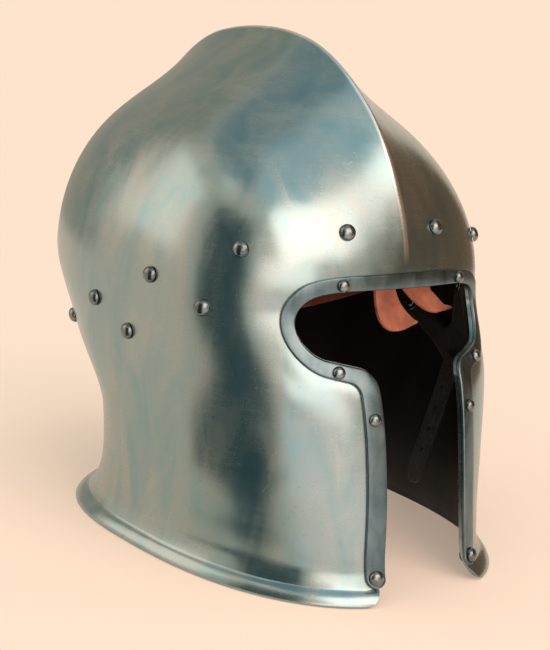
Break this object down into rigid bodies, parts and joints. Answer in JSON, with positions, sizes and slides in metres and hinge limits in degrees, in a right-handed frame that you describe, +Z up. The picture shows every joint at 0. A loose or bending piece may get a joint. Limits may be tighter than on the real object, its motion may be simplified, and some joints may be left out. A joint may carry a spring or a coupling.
{
  "type": "barbute helmet",
  "caption": "Open-faced steel helmet with a keeled comb, T-shaped face opening edged by a riveted band, rolled rim, leather liner and buckled chin strap.",
  "frame": {"origin": "centre of the bounding box's footprint, on the plane that the rolled rim rests on", "axes": "+Z up, the face opening towards -Y, the wearer's left towards +X"},
  "size_m": [0.2157, 0.2914, 0.2772],
  "materials": {
    "steel": "satin, brushed by hand",
    "band_steel": "satin, slightly darker",
    "rivet_steel": "polished heads",
    "leather": "vegetable-tanned, undyed",
    "strap_leather": "black dyed"
  },
  "bodies": {
    "helmet": {"skull": "steel", "face_band": "band_steel", "liner_band": "leather", "band_rivet_brow_right": "rivet_steel", "band_rivet_brow_left": "rivet_steel", "band_rivet_eye_right": "rivet_steel", "band_rivet_eye_left": "rivet_steel", "band_rivet_cheek_right": "rivet_steel", "band_rivet_cheek_left": "rivet_steel", "band_rivet_foot_right": "rivet_steel", "band_rivet_foot_left": "rivet_steel", "liner_rivet_right_1": "rivet_steel", "liner_washer_right_1": "rivet_steel", "liner_rivet_right_2": "rivet_steel", "liner_washer_right_2": "rivet_steel", "liner_rivet_right_3": "rivet_steel", "liner_washer_right_3": "rivet_steel", "liner_rivet_right_4": "rivet_steel", "liner_washer_right_4": "rivet_steel", "liner_rivet_right_5": "rivet_steel", "liner_washer_right_5": "rivet_steel", "liner_rivet_right_6": "rivet_steel", "liner_washer_right_6": "rivet_steel", "strap_rivet_right_1": "rivet_steel", "strap_washer_right_1": "rivet_steel", "strap_rivet_right_2": "rivet_steel", "strap_washer_right_2": "rivet_steel", "liner_rivet_left_1": "rivet_steel", "liner_washer_left_1": "rivet_steel", "liner_rivet_left_2": "rivet_steel", "liner_washer_left_2": "rivet_steel", "liner_rivet_left_3": "rivet_steel", "liner_washer_left_3": "rivet_steel", "liner_rivet_left_4": "rivet_steel", "liner_washer_left_4": "rivet_steel", "liner_rivet_left_5": "rivet_steel", "liner_washer_left_5": "rivet_steel", "liner_rivet_left_6": "rivet_steel", "liner_washer_left_6": "rivet_steel", "strap_rivet_left_1": "rivet_steel", "strap_washer_left_1": "rivet_steel", "strap_rivet_left_2": "rivet_steel", "strap_washer_left_2": "rivet_steel", "liner_tongue_1": "leather", "liner_tongue_2": "leather", "liner_tongue_3": "leather", "liner_tongue_4": "leather", "liner_tongue_5": "leather", "liner_tongue_6": "leather", "loose_tongue_right": "leather", "strap_yoke_right": "strap_leather", "loose_tongue_left": "leather", "strap_yoke_left": "strap_leather"},
    "buckle_strap": {"chin_strap_right": "strap_leather", "strap_keeper": "strap_leather"},
    "buckle": {"buckle_frame": "rivet_steel"},
    "prong": {"buckle_prong": "rivet_steel"},
    "billet": {"chin_strap_left": "strap_leather"}
  },
  "joints": [
    {"name": "buckle_strap_swing", "type": "hinge", "parent": "helmet", "child": "buckle_strap", "pos_m": [-0.08571, -0.06719, 0.09958], "axis": [0.3643, -0.9313, 0], "range_deg": [0, 80]},
    {"name": "buckle_swing", "type": "hinge", "parent": "buckle_strap", "child": "buckle", "pos_m": [-0.07314, -0.06227, 0.04112], "axis": [0.3643, -0.9313, 0], "range_deg": [-25, 90]},
    {"name": "prong_swing", "type": "hinge", "parent": "buckle", "child": "prong", "pos_m": [-0.07314, -0.06227, 0.04112], "axis": [0.3643, -0.9313, 0], "range_deg": [0, 100]},
    {"name": "billet_swing", "type": "hinge", "parent": "helmet", "child": "billet", "pos_m": [0.08486, -0.06685, 0.09979], "axis": [0.3643, 0.9313, 0], "range_deg": [0, 80]}
  ]
}
